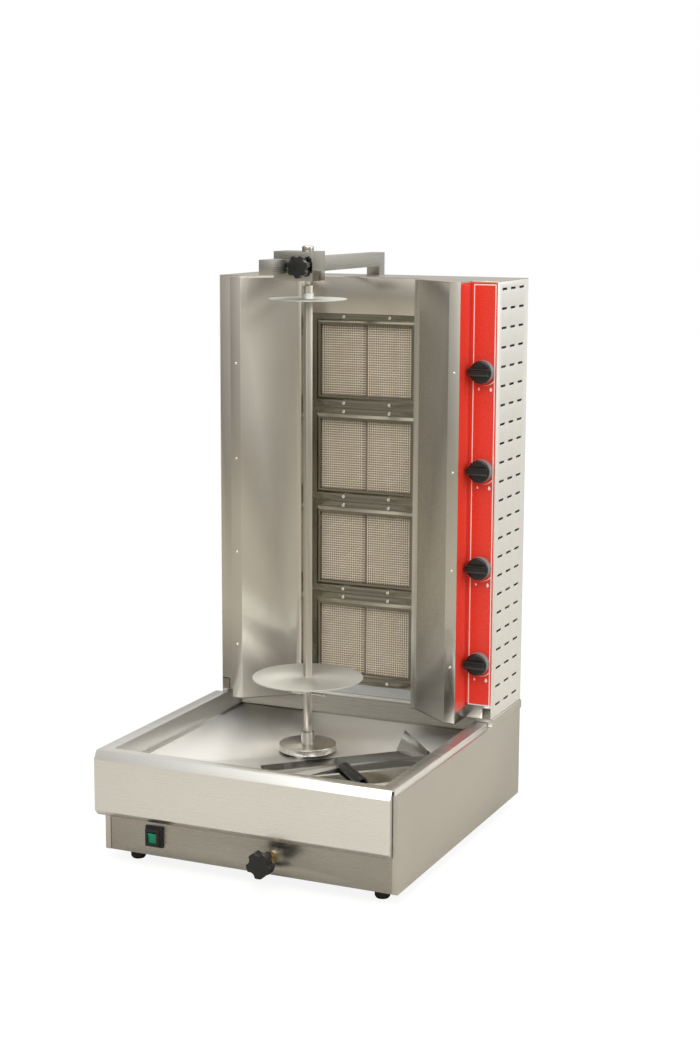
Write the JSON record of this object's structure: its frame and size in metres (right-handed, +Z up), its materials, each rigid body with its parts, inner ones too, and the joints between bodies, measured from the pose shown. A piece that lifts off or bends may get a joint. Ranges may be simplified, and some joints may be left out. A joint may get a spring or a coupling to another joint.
{
  "type": "gas rotisserie grill",
  "caption": "Countertop gas rotisserie oven: burner cabinet with wings, open grease tray, motor-driven upright spit with meat discs and an overhead arm.",
  "frame": {"origin": "centre of the oven's footprint, on the surface its feet stand on", "axes": "+X to the right as the cook faces it, +Y to the back, +Z up"},
  "size_m": [0.5566, 0.662, 1.0394],
  "materials": {
    "stainless": "brushed stainless sheet, vertical grain",
    "tray_steel": "bright rolled stainless sheet",
    "galvanised_steel": "zinc-plated sheet",
    "burner_steel": "polished stainless, lightly heat-tinted",
    "mesh_wire": "woven heat-resistant wire",
    "ceramic_tile": "matt cordierite ceramic",
    "machined_steel": "turned and milled stainless",
    "black_plastic": "black moulded phenolic",
    "green_plastic": "translucent green rocker",
    "red_vinyl": "red label film",
    "black_rubber": "moulded rubber",
    "brass_fitting": "machined brass",
    "gas_pipe": "drawn aluminium tube",
    "motor_paint": "dark enamel"
  },
  "bodies": {
    "housing": {"base_shell": "stainless", "bottom_plate": "galvanised_steel", "burner_backplate": "stainless", "burner_boxes": "galvanised_steel", "burner_frame_1": "burner_steel", "burner_frame_2": "burner_steel", "burner_frame_3": "burner_steel", "burner_frame_4": "burner_steel", "burner_meshes": "mesh_wire", "burner_tiles": "ceramic_tile", "cabinet_back": "stainless", "cabinet_floor": "stainless", "cable_gland": "black_plastic", "control_panel_left": "stainless", "control_panel_right": "stainless", "fasteners": "machined_steel", "feet": "black_rubber", "front_panel": "stainless", "gas_inlet": "brass_fitting", "gas_manifold": "gas_pipe", "gas_valves": "brass_fitting", "header_panel": "stainless", "overhead_arm": "stainless", "plinth": "stainless", "red_labels": "red_vinyl", "rod_bush": "machined_steel", "side_panel_left": "stainless", "side_panel_right": "stainless", "slide_rails": "galvanised_steel", "switch_case": "black_plastic", "top_cover": "stainless", "tray": "tray_steel", "tray_liner": "tray_steel", "venturi_tubes": "gas_pipe", "wing_left": "stainless", "wing_right": "stainless"},
    "carriage": {"carriage_plate": "galvanised_steel", "gearbox": "motor_paint", "gear_motor": "motor_paint", "shaft_bearing": "machined_steel"},
    "adjusting_rod": {"slide_knob": "black_plastic", "slide_rod": "machined_steel"},
    "spit": {"drive_shaft": "machined_steel", "turntable": "machined_steel", "spit_bar": "machined_steel", "lower_disc": "machined_steel", "cross_pin": "machined_steel"},
    "upper_disc": {"upper_disc": "machined_steel"},
    "head": {"head_block": "machined_steel"},
    "head_screw": {"head_knob": "black_plastic", "head_stud": "machined_steel"},
    "top_pin": {"top_pin": "machined_steel"},
    "valve_knob_1": {"control_knob_1": "black_plastic"},
    "valve_knob_2": {"control_knob_2": "black_plastic"},
    "valve_knob_3": {"control_knob_3": "black_plastic"},
    "valve_knob_4": {"control_knob_4": "black_plastic"},
    "rocker": {"switch_rocker": "green_plastic"},
    "scoop": {"scoop_pan": "tray_steel", "scoop_handle": "black_plastic"}
  },
  "joints": [
    {"name": "carriage_slide", "type": "slide", "parent": "housing", "child": "carriage", "axis": [0, 1, 0], "range_m": [-0.03, 0.016]},
    {"name": "adjusting_rod_turn", "type": "hinge", "parent": "carriage", "child": "adjusting_rod", "pos_m": [0.04975, -0.284, 0.052], "axis": [0, -1, 0], "range_deg": [0, 540]},
    {"name": "spit_spin", "type": "hinge", "parent": "carriage", "child": "spit", "pos_m": [0.00275, -0.042, 0.165], "axis": [0, 0, 1], "continuous": true},
    {"name": "upper_disc_slide", "type": "slide", "parent": "spit", "child": "upper_disc", "axis": [0, 0, 1], "range_m": [-0.55, 0.01]},
    {"name": "head_slide", "type": "slide", "parent": "housing", "child": "head", "axis": [0, 1, 0], "range_m": [-0.03, 0.016]},
    {"name": "head_knob_turn", "type": "hinge", "parent": "head", "child": "head_screw", "pos_m": [0.00675, -0.084, 1.0059], "axis": [0, -1, 0], "range_deg": [0, 360]},
    {"name": "top_pin_lift", "type": "slide", "parent": "head", "child": "top_pin", "axis": [0, 0, 1], "range_m": [0, 0.045]},
    {"name": "valve_turn_1", "type": "hinge", "parent": "housing", "child": "valve_knob_1", "pos_m": [0.251, 0.144, 0.3045], "axis": [0, -1, 0], "range_deg": [0, 210]},
    {"name": "valve_turn_2", "type": "hinge", "parent": "housing", "child": "valve_knob_2", "pos_m": [0.251, 0.144, 0.4773], "axis": [0, -1, 0], "range_deg": [0, 210]},
    {"name": "valve_turn_3", "type": "hinge", "parent": "housing", "child": "valve_knob_3", "pos_m": [0.251, 0.144, 0.6501], "axis": [0, -1, 0], "range_deg": [0, 210]},
    {"name": "valve_turn_4", "type": "hinge", "parent": "housing", "child": "valve_knob_4", "pos_m": [0.251, 0.144, 0.8229], "axis": [0, -1, 0], "range_deg": [0, 210]},
    {"name": "switch_rock", "type": "hinge", "parent": "housing", "child": "rocker", "pos_m": [-0.16875, -0.284, 0.056], "axis": [1, 0, 0], "range_deg": [-16, 0]},
    {"name": "scoop_lift", "type": "slide", "parent": "housing", "child": "scoop", "axis": [0, 0, 1], "range_m": [0, 0.08]}
  ],
  "couplings": [
    {"joint": "head_slide", "follows": "carriage_slide", "ratio": 1}
  ]
}
